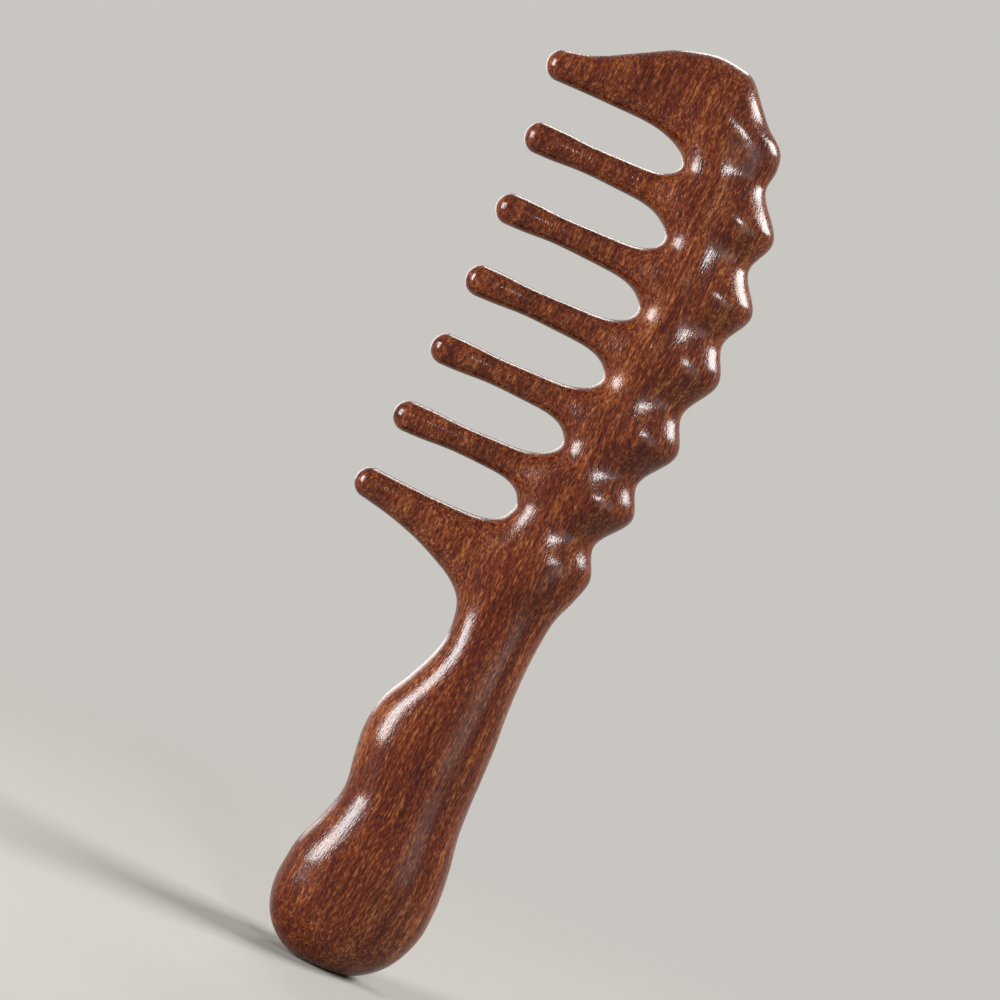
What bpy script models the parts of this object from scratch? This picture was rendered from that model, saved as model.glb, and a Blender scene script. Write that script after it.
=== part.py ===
"""Wide tooth comb, carved from one board of hardwood.

The comb stands upright on the small flat of its butt: +Z runs along the handle to the head,
the teeth point to -X, the back with its knobs faces +X, and Y is the board's thickness, the
same on both faces.  The whole comb is one piece of wood, so it is one mesh: a coarse cage with
a Subdivision Surface.  The cage is a six-sided ring swept from the butt to the head, and each
tooth and each knob is extruded from one side of it.
"""
import math

import bmesh
import bpy
from mathutils import Vector

MM = 0.001

# ---- driving dimensions, in millimetres ------------------------------------------------------
# Handle, from the flat of the butt up to the foot of the spine.  Each section is its height as
# a share of the handle's length, then its centre line, half width and half thickness.
HANDLE_LENGTH = 77.0
HANDLE_SECTIONS = (
    (0.013, -0.9, 8.4, 7.6),     # round end of the butt
    (0.110, -0.4, 14.1, 10.2),
    (0.247, 0.9, 14.4, 11.0),    # bulb that fills the palm
    (0.416, 1.9, 11.6, 9.8),
    (0.584, 1.1, 12.1, 9.8),     # hump under the first finger
    (0.740, 3.0, 9.5, 8.6),
    (0.883, 4.0, 8.1, 7.2),      # waist
    (1.000, 3.5, 9.5, 6.7),      # foot of the spine
)

# Teeth, counted from the lowest.
TOOTH_COUNT = 7
TOOTH_PITCH = 14.35
LOWEST_TOOTH_RISE = 9.3      # height of the lowest tooth's tip above the foot of the spine
TOOTH_SHAFT_RADIUS = 2.65
TOOTH_TIP_RADIUS = 3.0
TOOTH_REACH = 32.7           # from a gap's round end to the tip, on the middle tooth
TIP_BOW = 2.9                # how much further out the outer tips lie than the middle one
TOOTH_DROOP = 0.8            # a tooth's tip lies this much lower than its root
ROOT_FLARE = 5.0             # power of a tooth's widening into the spine: higher is shorter
LOWEST_TOOTH_FALL = 1.6      # the same for the lowest tooth's underside, down to the handle

# Spine: the bar between the teeth and the knobs.  It bows towards the back.
SPINE_FRONT_X = 3.8          # where the gaps end, at the top of the bow
SPINE_WIDTH = 15.8           # from a gap's end to the notch behind it
SPINE_HALF_THICKNESS = 6.3
FRONT_BOW = 5.9              # how far the gaps' ends fall back over half the row of teeth
BACK_BOW = 6.5               # and how far the notches do
BOW_RISE = 6.15              # height of the bow's top above the middle tooth
NOTCH_ROUND = 0.7            # a knob's flank stands out this far at a gap's corner

# Knobs on the back, one behind each tooth.
KNOB_HEIGHT = 2.9            # above the notches
TOP_KNOB_HEIGHT = 1.2        # the top knob is only the head's shoulder
KNOB_NOSE_RADIUS = 2.6
KNOB_RAISE = 1.4             # a knob's nose lies this much higher than its tooth's tip

# Head: the last section, above the top tooth.
HEAD_RISE = 10.6             # its height above the top tooth's tip
HEAD_CENTRE_X = 0.2
HEAD_HALF_WIDTH = 8.2
HEAD_HALF_THICKNESS = 4.6
HEAD_BROW = 2.0              # the top tooth's upper edge leaves the head this much higher

# ---- how the cage is laid out ----------------------------------------------------------------
LEFT_SIDE, RIGHT_SIDE = 2, 5    # the ring's sides that face the teeth and the knobs
RING_ANGLES = [math.radians(30 + 60 * step) for step in range(6)]
SUBDIVISIONS = 2
FITTING_ROUNDS = 14
ROUND = 1.06                 # a square tube of this half width is subdivided to a radius of 1
SHAFT_LOOPS = (0.3, 0.68)    # where a tooth's shaft has its loops, from root to tip
TIP_SHARE = 0.62             # width of a tip's last loop, beside the ball's own
TIP_PROUD = 0.6              # the last loop lies this far beyond the round tip
KNOB_PROUD = 0.7             # and a knob's loop this far beyond its nose

# ---- values that follow ----------------------------------------------------------------------
LOWEST_TOOTH_HEIGHT = HANDLE_LENGTH + LOWEST_TOOTH_RISE
TOOTH_HEIGHTS = [LOWEST_TOOTH_HEIGHT + TOOTH_PITCH * index for index in range(TOOTH_COUNT)]
MIDDLE_HEIGHT = (TOOTH_HEIGHTS[0] + TOOTH_HEIGHTS[-1]) / 2
HALF_ROW = MIDDLE_HEIGHT - TOOTH_HEIGHTS[0]
BOW_HEIGHT = MIDDLE_HEIGHT + BOW_RISE
GAP_HEIGHTS = [height + TOOTH_PITCH / 2 + TOOTH_DROOP / 3 for height in TOOTH_HEIGHTS[:-1]]
GAP_RADIUS = TOOTH_PITCH / 2 - TOOTH_SHAFT_RADIUS       # of a gap's round end
GAP_CORNER = GAP_RADIUS * 0.73                          # its corners, above and below its middle
GAP_CORNER_SETBACK = GAP_RADIUS * 0.29                  # and how far they are from its end
NOTCH_X = SPINE_FRONT_X + SPINE_WIDTH
MIDDLE_TIP_X = SPINE_FRONT_X - TOOTH_REACH
RING_SIDE_SHARE = math.cos(RING_ANGLES[0])              # a ring's side, beside its half width

def clear_scene():
    """Remove every object, so that the comb is alone."""
    for thing in list(bpy.data.objects):
        bpy.data.objects.remove(thing, do_unlink=True)


def new_collection(name):
    """A collection linked to the scene."""
    group = bpy.data.collections.new(name)
    bpy.context.scene.collection.children.link(group)
    return group


def hardwood():
    """Oiled and polished reddish brown hardwood."""
    material = bpy.data.materials.new("polished_hardwood")
    material.use_nodes = True
    shader = material.node_tree.nodes["Principled BSDF"]
    shader.inputs["Base Color"].default_value = (0.19, 0.055, 0.018, 1.0)
    shader.inputs["Roughness"].default_value = 0.32
    shader.inputs["Metallic"].default_value = 0.0
    return material


def ring(height, centre, half_width, half_thickness):
    """Six points of an ellipse at one height, front right first, then round by the left."""
    return [
        Vector((centre + half_width * math.cos(angle), half_thickness * math.sin(angle), height))
        for angle in RING_ANGLES
    ]


def bow(height, middle, reach):
    """A parabola, zero at its middle height and reach at half the row of teeth from there."""
    return reach * ((height - middle) / HALF_ROW) ** 2


def spine_section(height):
    """The spine's section where it meets the corners of a gap and the flanks of a knob."""
    left = SPINE_FRONT_X - GAP_CORNER_SETBACK - bow(height, BOW_HEIGHT, FRONT_BOW)
    right = NOTCH_X + NOTCH_ROUND - bow(height, BOW_HEIGHT, BACK_BOW)
    half_width = (right - left) / 2 / RING_SIDE_SHARE
    return height, (left + right) / 2, half_width, SPINE_HALF_THICKNESS


def core_sections():
    """All sections from the butt to the head; two for each gap, so that a tooth lies between."""
    sections = [(share * HANDLE_LENGTH, *size) for share, *size in HANDLE_SECTIONS]
    for height in GAP_HEIGHTS:
        sections.append(spine_section(height - GAP_CORNER))
        sections.append(spine_section(height + GAP_CORNER))
    head_height = TOOTH_HEIGHTS[-1] + HEAD_RISE
    sections.append((head_height, HEAD_CENTRE_X, HEAD_HALF_WIDTH, HEAD_HALF_THICKNESS))
    return sections


def sweep(bm, sections):
    """Loft the six-sided ring through the sections and close its ends; returns the sides."""
    rings = [[bm.verts.new(point) for point in ring(*section)] for section in sections]
    sides = []
    for lower, upper in zip(rings, rings[1:]):
        pairs = zip(lower, lower[1:] + lower[:1], upper[1:] + upper[:1], upper)
        sides.append([bm.faces.new(corners) for corners in pairs])
    for end in (rings[0], rings[-1]):
        cap = bm.faces.new(end)
        bmesh.utils.face_split(cap, end[1], end[4])
    return sides


def extrude(bm, face, loops):
    """Draw one face out through loops of (x, middle height, half height, half thickness)."""
    for x, height, half_height, half_thickness in loops:
        face = bmesh.ops.extrude_discrete_faces(bm, faces=[face])["faces"][0]
        middle = face.calc_center_median()
        for vert in face.verts:
            up = math.copysign(half_height, vert.co.z - middle.z)
            across = math.copysign(half_thickness, vert.co.y)
            vert.co = Vector((x, across, height + up))


def flare(power):
    """A tooth's widening into the spine: 1 at the root, 0 at the tip, fading as a power."""
    return lambda t: (1 - t) ** power


def brow(t):
    """The top tooth's upper edge, which leaves the head level and ends level at the tip."""
    return (1 + math.cos(math.pi * t)) / 2


def tooth_loops(face, tip_x, tip_height, rise, fall, lift=0.0):
    """Loops of a tooth, from its root face to its round tip.

    The upper edge leaves the root's, lifted by lift, and settles on the shaft's as rise(t)
    says; the lower edge follows fall(t).  t runs from 0 at the root to 1 at the tip.
    """
    root = face.calc_center_median()
    top = max(vert.co.z for vert in face.verts) + lift
    bottom = min(vert.co.z for vert in face.verts)
    shaft = TOOTH_SHAFT_RADIUS * ROUND
    ball = TOOTH_TIP_RADIUS * ROUND
    tip_centre = tip_x + TOOTH_TIP_RADIUS
    loops = []
    for t in SHAFT_LOOPS:
        upper = tip_height + shaft + (top - tip_height - shaft) * rise(t)
        lower = tip_height - shaft + (bottom - tip_height + shaft) * fall(t)
        across = shaft + (SPINE_HALF_THICKNESS / 2 - shaft) * max(rise(t), fall(t))
        x = root.x + (tip_centre - root.x) * t
        loops.append((x, (upper + lower) / 2, (upper - lower) / 2, across))
    loops.append((tip_centre, tip_height, ball, ball))
    loops.append((tip_x - TIP_PROUD, tip_height, ball * TIP_SHARE, ball * TIP_SHARE))
    return loops


def add_teeth(bm, sides, first_side):
    """One tooth from the left of every second step of the spine."""
    for index, height in enumerate(TOOTH_HEIGHTS):
        face = sides[first_side + 2 * index][LEFT_SIDE]
        tip_x = MIDDLE_TIP_X - bow(height, MIDDLE_HEIGHT, TIP_BOW)
        rise, fall, lift = flare(ROOT_FLARE), flare(ROOT_FLARE), 0.0
        if index == 0:
            fall = flare(LOWEST_TOOTH_FALL)
        if index == TOOTH_COUNT - 1:
            rise, lift = brow, HEAD_BROW
        extrude(bm, face, tooth_loops(face, tip_x, height, rise, fall, lift))


def add_knobs(bm, sides, first_side):
    """One low round knob from the right of every second step of the spine."""
    nose = KNOB_NOSE_RADIUS * ROUND
    for index, height in enumerate(TOOTH_HEIGHTS):
        face = sides[first_side + 2 * index][RIGHT_SIDE]
        rise = TOP_KNOB_HEIGHT if index == TOOTH_COUNT - 1 else KNOB_HEIGHT
        apex = NOTCH_X - bow(height, BOW_HEIGHT, BACK_BOW) + rise
        extrude(bm, face, [(apex + KNOB_PROUD, height + KNOB_RAISE, nose, nose)])


def pull_to_surface(verts, rounds):
    """Push the given points out until the subdivided surface passes through where they were.

    A subdivided vertex settles at (n n V + 4 (sum of neighbours) + (sum of diagonals)) over
    n (n + 5), where n is its number of edges; each round adds what is missing.
    """
    design = {vert: vert.co.copy() for vert in verts}
    for _ in range(rounds):
        shift = {}
        for vert in verts:
            count = len(vert.link_edges)
            total = vert.co * (count * count)
            for edge in vert.link_edges:
                total += edge.other_vert(vert).co * 4
            for loop in vert.link_loops:
                total += loop.link_loop_next.link_loop_next.vert.co
            shift[vert] = design[vert] - total / (count * (count + 5))
        for vert, move in shift.items():
            vert.co += move


def trim_block(group):
    """A block whose top is the ground, and which is wider than any butt; it trims the flat."""
    size = HANDLE_LENGTH * MM
    bpy.ops.mesh.primitive_cube_add(size=size, location=(0, 0, -size / 2))
    block = bpy.context.object
    block.name = "butt_trim"
    for owner in list(block.users_collection):
        owner.objects.unlink(block)
    group.objects.link(block)
    block.display_type = "WIRE"
    block.hide_render = True
    return block


def comb_cage():
    """The cage of the whole comb, in metres."""
    bm = bmesh.new()
    sections = core_sections()
    sides = sweep(bm, sections)
    core = list(bm.verts)
    first_tooth_side = len(HANDLE_SECTIONS) - 1
    add_teeth(bm, sides, first_tooth_side)
    add_knobs(bm, sides, first_tooth_side)
    pull_to_surface(core, FITTING_ROUNDS)
    bmesh.ops.scale(bm, vec=(MM, MM, MM), verts=bm.verts)
    bmesh.ops.recalc_face_normals(bm, faces=bm.faces)
    mesh = bpy.data.meshes.new("comb")
    bm.to_mesh(mesh)
    bm.free()
    return mesh


def build():
    """The comb: its cage, subdivided, with the butt trimmed flat at the ground."""
    clear_scene()
    parts = new_collection("wide_tooth_comb")
    guides = new_collection("cutters")
    comb = bpy.data.objects.new("comb", comb_cage())
    comb.data.materials.append(hardwood())
    comb.data.shade_smooth()
    parts.objects.link(comb)
    soften = comb.modifiers.new("carved", "SUBSURF")
    soften.levels = SUBDIVISIONS
    soften.render_levels = SUBDIVISIONS
    trim = comb.modifiers.new("butt_flat", "BOOLEAN")
    trim.operation = "DIFFERENCE"
    trim.object = trim_block(guides)


build()
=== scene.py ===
import math

import bpy
import numpy as np
from mathutils import Matrix, Vector


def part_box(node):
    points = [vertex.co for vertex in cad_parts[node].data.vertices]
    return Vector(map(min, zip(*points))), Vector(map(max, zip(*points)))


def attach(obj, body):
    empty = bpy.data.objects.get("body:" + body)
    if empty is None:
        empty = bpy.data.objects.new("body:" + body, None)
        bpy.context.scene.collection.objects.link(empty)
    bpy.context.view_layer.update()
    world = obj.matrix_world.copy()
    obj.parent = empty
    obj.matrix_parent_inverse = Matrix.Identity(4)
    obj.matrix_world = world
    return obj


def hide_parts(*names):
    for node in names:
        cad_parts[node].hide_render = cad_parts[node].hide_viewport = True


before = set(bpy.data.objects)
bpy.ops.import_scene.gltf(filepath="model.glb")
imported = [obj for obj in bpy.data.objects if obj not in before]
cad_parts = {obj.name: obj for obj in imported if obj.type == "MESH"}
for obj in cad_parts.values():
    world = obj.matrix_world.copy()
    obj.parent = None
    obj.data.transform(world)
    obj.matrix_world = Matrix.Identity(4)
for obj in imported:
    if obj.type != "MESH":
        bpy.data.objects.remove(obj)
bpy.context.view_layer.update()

# A wide tooth comb carved from one block of red-brown hardwood, sanded smooth and polished.
# It stands on its butt on the floor. +Z runs up the comb, the teeth point to -X, the knobs
# of the back to +X, and the two broad faces, +Y and -Y, are alike.
# Sizes are millimetres until the mesh is made.
METRE = 0.001
COMB_LOW, COMB_HIGH = (np.array(corner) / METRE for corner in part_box("comb"))

# ---------------------------------------------------------------- the comb's drawing
BODY = (  # handle and spine: height, front edge, line of the back, half thickness
    (0.0, -15.8, 14.0, 10.9), (8.0, -15.2, 14.5, 10.9), (14.5, -14.6, 15.2, 10.9),
    (20.0, -13.8, 15.3, 11.0), (26.0, -11.5, 14.7, 10.5), (32.5, -9.9, 13.6, 9.8),
    (38.5, -10.7, 13.2, 9.6), (44.5, -11.3, 13.1, 9.6), (50.5, -10.4, 12.9, 9.2),
    (57.0, -7.2, 12.4, 8.6), (64.0, -4.5, 12.2, 7.7), (72.0, -4.2, 12.5, 6.9),
    (82.0, -3.9, 13.8, 6.4), (93.3, -2.3, 15.5, 6.3), (107.5, 0.8, 18.0, 6.3),
    (122.0, 2.8, 20.3, 6.3), (136.5, 3.5, 21.6, 6.3), (151.0, 2.5, 20.9, 6.2),
    (165.0, -0.2, 17.6, 5.9), (176.0, -3.0, 13.2, 5.2), (181.0, -3.0, 9.4, 4.8),
    (186.0, -3.0, 5.0, 4.4))
BUTT_ROUND = (14.5, 15.2)  # height where the butt's round end starts, and its length
CROWN_ROUND = (177.5, 6.5)  # the same at the head
SQUARENESS = 2.2  # power of the rounded section: 2 is an ellipse, more is squarer

KNOBS = (  # height, and how far the back stands out of its line there
    (71.0, 0.0), (77.5, 0.1), (82.0, 1.2), (86.3, 1.7), (92.8, -1.3), (100.3, 1.9),
    (106.6, -1.1), (114.8, 2.0), (122.0, -1.3), (130.3, 1.5), (137.3, -1.2), (144.2, 1.7),
    (152.0, -1.6), (158.5, 1.7), (167.3, -1.1), (171.5, 0.7), (175.2, 1.2), (178.0, -0.5),
    (181.0, -1.1), (186.0, -1.6))
KNOB_SWELL = 0.5  # how much thicker the comb is for each mm that the back stands out
KNOB_REACH = (5.5, 12.0)  # distances in from the line of the back: full swell, and none

TEETH = (  # x and height of the middle of each tip, from the second tooth to the sixth
    (-27.7, 100.7), (-26.5, 115.1), (-25.9, 129.5), (-26.3, 144.1), (-26.9, 158.5))
TIP_RADIUS = 3.0
SHAFT_RADIUS = 2.65
TOOTH_END = 6.0  # x where a tooth ends inside the spine, and the length of its round end there
TOOTH_END_ROUND = 3.0
LOWEST_TOOTH = (  # x, lower edge, upper edge, half thickness
    (-29.1, 83.3, 89.3, 3.0), (-24.0, 82.3, 89.0, 2.95), (-16.5, 80.1, 88.8, 3.3),
    (-10.0, 77.2, 88.9, 4.2), (-3.0, 73.6, 89.4, 5.2), (4.0, 72.0, 90.0, 5.6))
TOP_TOOTH = (
    (-28.8, 169.6, 175.6, 3.0), (-24.0, 169.7, 176.9, 2.95), (-17.0, 169.7, 180.6, 3.4),
    (-9.0, 169.5, 184.8, 4.3), (-3.0, 168.5, 186.1, 4.8), (3.0, 168.0, 185.2, 5.0))
LOWEST_ROOT_ROUND, TOP_ROOT_ROUND = 5.0, 4.5  # length of their round ends inside the spine
ROOT_SWELL = 2.2  # how far the spine's front edge stands out under the root of a tooth
ROOTS = (93.3, 165.0, 5)  # heights of the lowest and highest gap end, and teeth between them
ROOT_BLEND = 8.0  # reach of the soft hollow where a tooth grows out of the spine
BUTT_EDGE = 1.2  # reach of the rounding between the butt's flat and its side


# ---------------------------------------------------------------- forms
def curve(points):
    """A smooth function through given points (place, value): between two points it is the cubic whose
    slope at each is the mean of the chords' slopes, and it is level outside."""
    place, value = np.array(points, float).T
    step = np.diff(place)
    chord = np.diff(value) / step
    inner = (chord[:-1] * step[1:] + chord[1:] * step[:-1]) / (step[1:] + step[:-1])
    slope = np.concatenate((chord[:1], inner, chord[-1:]))

    def at(x):
        x = np.clip(x, place[0], place[-1])
        k = np.clip(np.searchsorted(place, x) - 1, 0, len(step) - 1)
        t = (x - place[k]) / step[k]
        return (value[k] * (1 + 2 * t) * (1 - t) ** 2 + slope[k] * step[k] * t * (1 - t) ** 2
                + value[k + 1] * t * t * (3 - 2 * t) + slope[k + 1] * step[k] * t * t * (t - 1))

    return at


def column(points, k):
    """The smooth function of a table's column k over its first column."""
    return curve([(point[0], point[k]) for point in points])


def rounded(parts, halves, power):
    """How far a place lies outside a rounded body, roughly: with g the power mean of the
    offsets over their half sizes, g is 1 on the surface, and the answer is (g - 1) / |grad g|."""
    shares = [np.abs(part) / half for part, half in zip(parts, halves)]
    g = sum(share ** power for share in shares) ** (1 / power) + 1e-9
    steep = sum(((share / g) ** (power - 1) / half) ** 2 for share, half in zip(shares, halves))
    return (g - 1) / np.sqrt(steep + 1e-12)


def handle_and_spine(x, y, z):
    """A section carried up the comb: two half super-ellipses that meet on the middle line,
    one to the front edge and one to the knobbed back edge, closed by a round end at each end.
    The front edge stands out under each tooth's root by a squared sine, and a knob also swells
    the section's thickness, fading out towards the middle of the face."""
    front, line, thick = (column(BODY, k)(z) for k in (1, 2, 3))
    middle = (front + line) / 2
    lowest_gap, top_gap, teeth = ROOTS
    tooth_share = np.clip((z - lowest_gap) / (top_gap - lowest_gap), 0, 1) * teeth
    front = front - ROOT_SWELL * np.sin(math.pi * tooth_share) ** 2
    knob = curve(KNOBS)(z)
    near = np.clip((KNOB_REACH[1] - (line - x)) / (KNOB_REACH[1] - KNOB_REACH[0]), 0, 1)
    thick = thick + KNOB_SWELL * knob * near * near * (3 - 2 * near)
    half = np.where(x < middle, middle - front, line + knob - middle)
    below = np.maximum(BUTT_ROUND[0] - z, 0) / BUTT_ROUND[1]
    above = np.maximum(z - CROWN_ROUND[0], 0) / CROWN_ROUND[1]
    length = np.where(z < BUTT_ROUND[0], BUTT_ROUND[1], CROWN_ROUND[1])
    return rounded((x - middle, y, (below + above) * length), (half, thick, length), SQUARENESS)


def bar(x, y, z, start, stop, caps, centre, half_height, half_thickness):
    """An elliptical section carried along X from start to stop, closed by round ends."""
    at = np.clip(x, start, stop)
    cap = np.where(x < start, *caps)
    return rounded((z - centre(at), y, x - at), (half_height(at), half_thickness(at), cap), 2.0)


def tooth(x, y, z, tip):
    """A slim round bar with a ball at its tip that thickens towards the spine."""
    tip_x, tip_z = tip
    centre = curve(((tip_x, tip_z), (tip_x + 10, tip_z + 0.1), (4.0, tip_z)))
    radius = curve(((tip_x, TIP_RADIUS), (tip_x + 3.5, TIP_RADIUS - 0.05),
                    (tip_x + 9, SHAFT_RADIUS), (-9.0, SHAFT_RADIUS + 0.2),
                    (4.0, SHAFT_RADIUS + 0.8)))
    caps = (TIP_RADIUS, TOOTH_END_ROUND)
    return bar(x, y, z, tip_x, TOOTH_END, caps, centre, radius, radius)


def wedge(x, y, z, points, root_round):
    """A tooth that widens into the comb's outline: the lowest one or the top one. Its height and
    thickness follow points, and root_round is the length of the round end inside the spine."""
    lower, upper, thick = (column(points, k) for k in (1, 2, 3))
    return bar(x, y, z, points[0][0], points[-1][0], (TIP_RADIUS, root_round),
               lambda s: (lower(s) + upper(s)) / 2, lambda s: (upper(s) - lower(s)) / 2, thick)


def joined(a, b, reach):
    """The union of two bodies with a soft hollow: the smaller distance, less a cubic bump
    where the two are nearly alike."""
    near = np.maximum(reach - np.abs(a - b), 0) / reach
    return np.minimum(a, b) - near ** 3 * reach / 6


def comb(x, y, z):
    """The whole comb: the teeth softly joined to the spine, and all of it cut off at z = 0
    with a small rounding round the cut."""
    teeth = np.minimum(wedge(x, y, z, LOWEST_TOOTH, LOWEST_ROOT_ROUND),
                       wedge(x, y, z, TOP_TOOTH, TOP_ROOT_ROUND))
    for tip in TEETH:
        teeth = np.minimum(teeth, tooth(x, y, z, tip))
    whole = joined(handle_and_spine(x, y, z), teeth, ROOT_BLEND)
    return -joined(-whole, z, BUTT_EDGE)


# ---------------------------------------------------------------- skin
SLOPE_STEP = 0.02  # mm to either side of a point between which a slope is taken


def settled(form, points, rounds=1):
    """Points moved onto the form's surface: each round steps back along the gradient, found
    by central differences, by the distance over the gradient's length squared."""
    for _ in range(rounds):
        slopes = []
        for step in np.eye(3) * SLOPE_STEP:
            rise = form(*(points + step).T) - form(*(points - step).T)
            slopes.append(rise / (2 * SLOPE_STEP))
        gradient = np.stack(slopes, 1)
        share = form(*points.T) / (gradient ** 2).sum(1)
        points = points - gradient * share[:, None]
    return points


def skin(form, low, high, cell):
    """A closed net of four-sided faces over form = 0: a point in each grid cell that the
    surface crosses, at the mean of its edges' crossings, and a face round each crossed edge."""
    axes = [np.arange(a, b + cell, cell) for a, b in zip(low, high)]
    value = form(*np.meshgrid(*axes, indexing="ij"))
    cells = np.array(value.shape) - 1
    total, count = np.zeros((cells.prod(), 3)), np.zeros(cells.prod())
    rings = []
    for axis, side, other in ((0, 1, 2), (1, 2, 0), (2, 0, 1)):
        near, far = (np.moveaxis(value, axis, 0)[part] for part in (slice(-1), slice(1, None)))
        crossed = np.moveaxis((near < 0) != (far < 0), 0, axis)
        corner = np.argwhere(crossed)
        a = value[tuple(corner.T)]
        beyond = corner + np.eye(3, dtype=int)[axis]
        b = value[tuple(beyond.T)]
        place = corner.astype(float)
        place[:, axis] += a / (a - b)
        ring = []
        for back_side, back_other in ((1, 1), (0, 1), (0, 0), (1, 0)):
            home = corner.copy()
            home[:, side] -= back_side
            home[:, other] -= back_other
            home = np.ravel_multi_index(home.T, cells)
            for k in range(3):
                total[:, k] += np.bincount(home, place[:, k], len(total))
            count += np.bincount(home, minlength=len(count))
            ring.append(home)
        ring = np.stack(ring, 1)
        rings.append(np.where((a < 0)[:, None], ring, ring[:, ::-1]))
    used = count > 0
    points = np.array(low) + total[used] / count[used, None] * cell
    number = np.cumsum(used) - 1
    return points, number[np.concatenate(rings)]


def evened(form, points, faces, rounds=3):
    """The net made even: each point goes half way to the mean of its neighbours and then
    back onto the surface."""
    ends = np.concatenate([faces[:, [k, (k + 1) % 4]] for k in range(4)])
    ends = np.concatenate((ends, ends[:, ::-1]))
    many = np.bincount(ends[:, 0], minlength=len(points))
    for _ in range(rounds):
        total = [np.bincount(ends[:, 0], points[ends[:, 1], k], len(points)) for k in range(3)]
        mean = np.stack(total, 1) / many[:, None]
        points = settled(form, (points + mean) / 2)
    return settled(form, points, 2)


def mesh_object(name, points, faces, material):
    """A smooth-shaded object of that name, from points in millimetres and faces by number."""
    mesh = bpy.data.meshes.new(name)
    mesh.from_pydata(points * METRE, [], faces)
    mesh.shade_smooth()
    mesh.materials.append(material)
    piece = bpy.data.objects.new(name, mesh)
    bpy.context.scene.collection.objects.link(piece)
    return piece


# ---------------------------------------------------------------- materials
def linear(colour):
    """An sRGB hex colour as linear red, green, blue and a full alpha."""
    parts = [int(colour[k:k + 2], 16) / 255 for k in (1, 3, 5)]
    return tuple(p / 12.92 if p <= 0.04045 else ((p + 0.055) / 1.055) ** 2.4 for p in parts) + (1.0,)


def add(tree, kind, inputs=None, **settings):
    """One node of that kind: its settings, and its inputs as values or as links from sockets."""
    node = tree.nodes.new("ShaderNode" + kind)
    for name, value in settings.items():
        setattr(node, name, value)
    for name, value in (inputs or {}).items():
        if isinstance(value, bpy.types.NodeSocket):
            tree.links.new(value, node.inputs[name])
        else:
            node.inputs[name].default_value = value
    return node


def new_material(name):
    """A material with an empty node tree, and that tree."""
    material = bpy.data.materials.new(name)
    material.use_nodes = True
    material.node_tree.nodes.clear()
    return material, material.node_tree


GRAIN_LEAN = (math.radians(1), math.radians(-2), 0)  # turns about X, Y and Z


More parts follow.
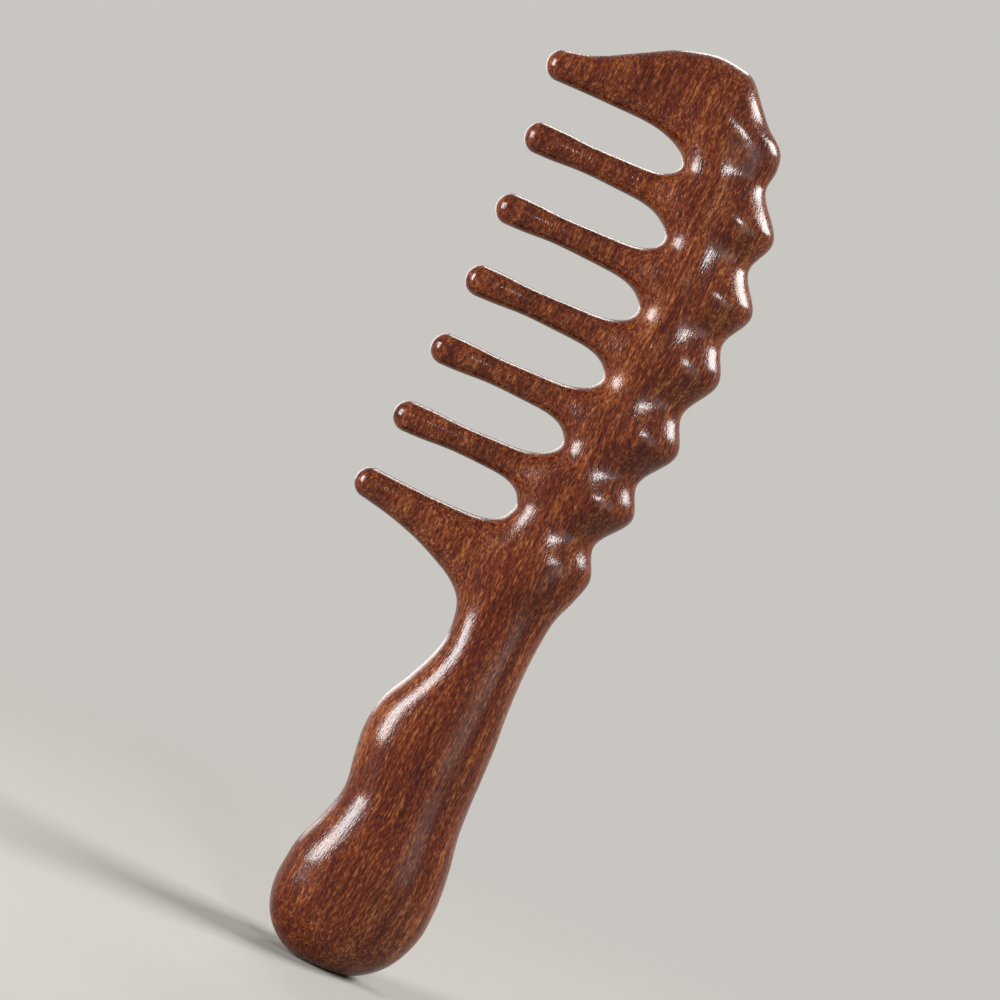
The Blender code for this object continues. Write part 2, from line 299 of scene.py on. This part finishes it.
def polished_red_sandalwood():
    """Red sandalwood, sanded along the grain, oiled and waxed to a gloss. It gives a deep
    red-brown with soft darker growth bands along the grain, fine dark pores in short lines
    that run up the comb and across its teeth, and clear but slightly broken highlights."""
    material, tree = new_material("polished red sandalwood")
    place = add(tree, "TexCoord").outputs["Object"]
    # millimetres, with the grain leaning about 2 degrees off the comb's length
    grain = add(tree, "Mapping", {"Vector": place, "Scale": (1000, 1000, 1000),
                                  "Rotation": GRAIN_LEAN}).outputs["Vector"]
    drift = add(tree, "TexNoise", {"Vector": grain, "Scale": 0.02, "Detail": 2.0}).outputs["Color"]
    drift = add(tree, "VectorMath", {0: drift, 1: (0.5, 0.5, 0.5)}, operation="SUBTRACT").outputs[0]
    drift = add(tree, "VectorMath", {0: drift, 1: (6.0, 6.0, 0.0)}, operation="MULTIPLY").outputs[0]
    wavy = add(tree, "VectorMath", {0: grain, 1: drift}, operation="ADD").outputs[0]

    # growth bands a few millimetres wide round a pith that lies outside the comb
    from_pith = add(tree, "VectorMath", {0: wavy, 1: (70.0, 40.0, 0.0)},
                    operation="SUBTRACT").outputs[0]
    from_pith = add(tree, "VectorMath", {0: from_pith, 1: (1, 1, 0)}, operation="MULTIPLY").outputs[0]
    radius = add(tree, "VectorMath", {0: from_pith}, operation="LENGTH").outputs["Value"]
    bands = add(tree, "TexNoise", {"W": radius, "Scale": 0.33, "Detail": 3.0, "Roughness": 0.6},
                noise_dimensions="1D").outputs["Fac"]

    def stretched(width, length, detail, roughness=0.5):
        """Noise in streaks about width mm across and length mm along the grain."""
        shrunk = add(tree, "VectorMath", {0: wavy, 1: (1 / width, 1 / width, 1 / length)},
                     operation="MULTIPLY").outputs[0]
        return add(tree, "TexNoise", {"Vector": shrunk, "Scale": 1.0, "Detail": detail,
                                      "Roughness": roughness}).outputs["Fac"]

    streaks = stretched(0.7, 12.0, 2.0)
    fibres = stretched(0.3, 1.2, 2.0, 0.55)
    clouds = stretched(14.0, 26.0, 1.0)

    def mixed(parts):
        """The weighted sum of several patterns, each taken about its own middle, plus a half."""
        total = 0.5
        for pattern, weight in parts:
            total = add(tree, "Math", {0: pattern, 1: weight, 2: total},
                        operation="MULTIPLY_ADD").outputs[0]
        middle = sum(weight for pattern, weight in parts) / 2
        return add(tree, "Math", {0: total, 1: middle}, operation="SUBTRACT").outputs[0]

    tone = mixed(((bands, 0.4), (streaks, 0.7), (fibres, 1.2), (clouds, 0.25)))
    ramp = add(tree, "ValToRGB", {"Fac": tone})
    stops = ramp.color_ramp.elements
    stops[0].position, stops[0].color = 0.16, linear("#280500")
    stops[1].position, stops[1].color = 0.86, linear("#8c5834")
    for position, colour in ((0.34, "#3f0c00"), (0.50, "#531d04"), (0.68, "#6f3918")):
        stop = stops.new(position)
        stop.color = linear(colour)

    # real vessels are 0.1 to 0.2 mm wide, too fine to show, so they are drawn about twice as wide
    def pores(width, length, size):
        """Vessel lines, one in each cell of width by length mm: solid to 0.4 of size from the
        line's middle and faded out at size, both as shares of the cell."""
        cells = add(tree, "VectorMath", {0: wavy, 1: (1 / width, 1 / width, 1 / length)},
                    operation="MULTIPLY").outputs[0]
        away = add(tree, "TexVoronoi", {"Vector": cells, "Scale": 1.0,
                                        "Randomness": 1.0}).outputs["Distance"]
        return add(tree, "MapRange", {"Value": away, "From Min": size, "From Max": size * 0.4},
                   interpolation_type="SMOOTHSTEP").outputs["Result"]

    pore = add(tree, "Math", {0: pores(0.85, 3.0, 0.33), 1: pores(0.5, 1.5, 0.30)},
               operation="MAXIMUM").outputs[0]
    inked = add(tree, "Math", {0: pore, 1: 0.75}, operation="MULTIPLY").outputs[0]
    colour = add(tree, "MixRGB", {"Fac": inked, "Color1": ramp.outputs["Color"],
                                  "Color2": linear("#260600")}).outputs["Color"]

    # the vessels are matt and a little sunk in the wood, and the wax fills most of their depth
    roughness = add(tree, "MapRange", {"Value": pore, "To Min": 0.34, "To Max": 0.60}).outputs["Result"]
    relief = add(tree, "Math", {0: pore, 1: -0.25, 2: fibres}, operation="MULTIPLY_ADD").outputs[0]
    bump = add(tree, "Bump", {"Height": relief, "Strength": 1.0, "Distance": 0.00010}).outputs["Normal"]
    waxed = add(tree, "Bump", {"Height": relief, "Strength": 1.0, "Distance": 0.00004}).outputs["Normal"]
    shader = add(tree, "BsdfPrincipled", {
        "Base Color": colour, "Roughness": roughness, "Normal": bump,
        "Coat Normal": waxed,
        "Specular IOR Level": 0.02, "Coat Weight": 0.65, "Coat Roughness": 0.17})
    add(tree, "OutputMaterial", {"Surface": shader.outputs[0]})
    return material


def studio_floor():
    """Matt pale paper that fades out towards its rim into the backdrop."""
    material, tree = new_material("matt pale paper")
    place = add(tree, "TexCoord").outputs["Object"]
    far = add(tree, "VectorMath", {0: place}, operation="LENGTH").outputs["Value"]
    fade = add(tree, "MapRange", {"Value": far, "From Min": FLOOR_FADE[0], "From Max": FLOOR_FADE[1]},
               interpolation_type="SMOOTHSTEP").outputs["Result"]
    paper = add(tree, "BsdfDiffuse", {"Color": linear(FLOOR_COLOUR)}).outputs[0]
    clear = add(tree, "BsdfTransparent").outputs[0]
    mixed = add(tree, "MixShader", {"Fac": fade, 1: paper, 2: clear}).outputs[0]
    add(tree, "OutputMaterial", {"Surface": mixed})
    return material


# ---------------------------------------------------------------- the piece
CELL = 0.5  # mm between the points of the skin
MARGIN = 1.5  # mm of grid outside the comb's box

points, faces = skin(comb, COMB_LOW - MARGIN, COMB_HIGH + MARGIN, CELL)
points = evened(comb, points, faces)
comb_piece = mesh_object("carved_comb", points, faces, polished_red_sandalwood())
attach(comb_piece, "root")
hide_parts("comb")

# ---------------------------------------------------------------- floor, backdrop and lights
FLOOR_COLOUR = "#989590"
BACKDROP_COLOUR = "#c9c6c1"
FLOOR_FADE = (0.10, 0.26)  # m from the comb's foot over which the floor fades out
FLOOR_SIDES = 96
FLOOR_OVERLAP = 1.02  # the disc's size over the distance at which it has faded out
WORLD_FILL = 0.1  # strength of the even light that comes from all round

angles = np.linspace(0, 2 * math.pi, FLOOR_SIDES, endpoint=False)
floor_radius = FLOOR_FADE[1] * FLOOR_OVERLAP / METRE
rim = np.stack((np.cos(angles), np.sin(angles), np.zeros(FLOOR_SIDES)), 1) * floor_radius
floor = mesh_object("floor", rim, [list(range(FLOOR_SIDES))], studio_floor())

scene = bpy.context.scene
scene.view_settings.view_transform = "Standard"


def pale_world(fill):
    """A pale backdrop as the camera and reflections see it, and a weaker even fill for the rest."""
    world = bpy.data.worlds.new("pale backdrop")
    world.use_nodes = True
    tree = world.node_tree
    tree.nodes.clear()
    rays = add(tree, "LightPath").outputs
    seen = rays["Is Camera Ray"]
    for kind in ("Is Glossy Ray", "Is Transmission Ray"):
        seen = add(tree, "Math", {0: seen, 1: rays[kind]}, operation="MAXIMUM").outputs[0]
    backdrop = add(tree, "Background", {"Color": linear(BACKDROP_COLOUR)}).outputs[0]
    even = add(tree, "Background", {"Color": linear("#ffffff"), "Strength": fill}).outputs[0]
    mixed = add(tree, "MixShader", {"Fac": seen, 1: even, 2: backdrop}).outputs[0]
    add(tree, "OutputWorld", {"Surface": mixed})
    return world


scene.world = pale_world(WORLD_FILL)
aim = Vector((COMB_LOW + COMB_HIGH) / 2 * METRE)


def softbox(name, across, up, away, width, height, strength):
    """An area light aimed at the comb's middle. across and up are degrees seen from the comb,
    across from the camera's side towards +X, and strength is the light's own brightness."""
    lamp = bpy.data.lights.new(name, "AREA")
    lamp.shape, lamp.size, lamp.size_y = "RECTANGLE", width, height
    lamp.energy = strength * math.pi * width * height
    a, e = math.radians(across), math.radians(up)
    to_light = Vector((math.sin(a) * math.cos(e), -math.cos(a) * math.cos(e), math.sin(e)))
    light = bpy.data.objects.new(name, lamp)
    turn = to_light.to_track_quat("Z", "Y").to_matrix().to_4x4()
    light.matrix_world = Matrix.Translation(aim + to_light * away) @ turn
    scene.collection.objects.link(light)


softbox("left strip", across=-67, up=7, away=0.45, width=0.17, height=0.28, strength=27.0)
softbox("small right box", across=17, up=20, away=0.45, width=0.065, height=0.065, strength=60.0)
softbox("soft right box", across=36, up=5, away=0.9, width=0.35, height=0.4, strength=1.6)
softbox("right rim", across=92, up=40, away=0.9, width=0.46, height=0.38, strength=25.0)
softbox("soft back box", across=205, up=12, away=0.9, width=0.5, height=0.5, strength=3.0)
softbox("back rim", across=180, up=50, away=0.9, width=0.34, height=0.24, strength=12.0)

# ---------------------------------------------------------------- camera
LEAN = 24.5  # degrees that the comb leans to the right in the picture
LENS, SENSOR = 100.0, 36.0  # mm
VIEW_WIDTH = 0.188  # m across the picture at the comb
VIEW_CENTRE = Vector((-0.0056, 0.0, 0.0935))  # m, the point in the middle of the picture

camera_data = bpy.data.cameras.new("camera")
camera_data.lens, camera_data.sensor_width = LENS, SENSOR
camera = bpy.data.objects.new("camera", camera_data)
distance = VIEW_WIDTH * LENS / SENSOR
look = Matrix.Rotation(math.radians(90), 4, "X") @ Matrix.Rotation(math.radians(LEAN), 4, "Z")
camera.matrix_world = Matrix.Translation(VIEW_CENTRE + Vector((0, -distance, 0))) @ look
scene.collection.objects.link(camera)
scene.camera = camera
